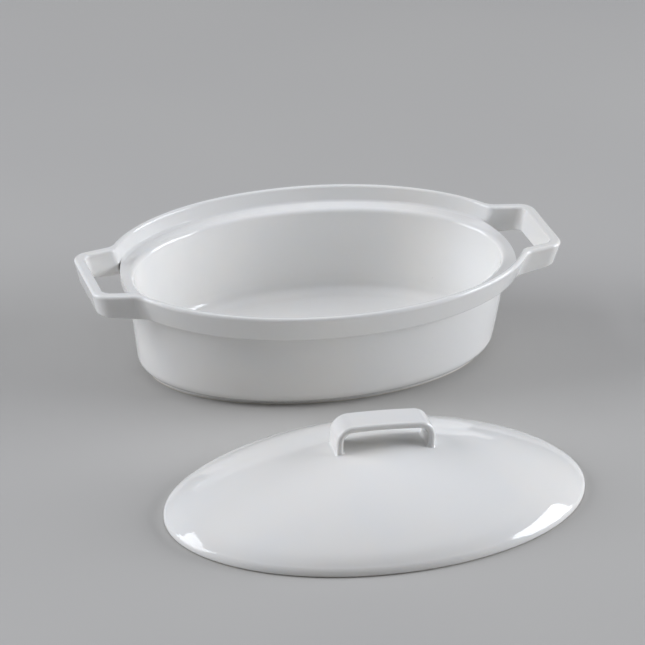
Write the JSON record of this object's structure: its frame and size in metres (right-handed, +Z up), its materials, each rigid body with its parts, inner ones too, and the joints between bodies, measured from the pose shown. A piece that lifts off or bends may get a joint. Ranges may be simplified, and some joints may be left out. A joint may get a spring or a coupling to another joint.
{
  "type": "covered casserole dish",
  "caption": "White porcelain oval casserole dish with a flared collar, loop handles moulded in, and a loose shallow domed lid with a strap handle.",
  "frame": {"origin": "centre of the dish's foot ring on the table", "axes": "X runs along the dish from handle to handle, Y across it with the lid on the -Y side, +Z is up"},
  "size_m": [0.367, 0.4328, 0.088],
  "materials": {
    "dish_glaze": "glossy white glaze, unglazed foot ring",
    "lid_glaze": "glossy white glaze, unglazed seat ring"
  },
  "bodies": {
    "dish": {"dish": "dish_glaze"},
    "lid": {"lid": "lid_glaze", "lid_handle": "lid_glaze"}
  },
  "joints": [
    {"name": "lid_lift", "type": "slide", "parent": "dish", "child": "lid", "axis": [0, 0, 1], "range_m": [0, 0.15]}
  ]
}
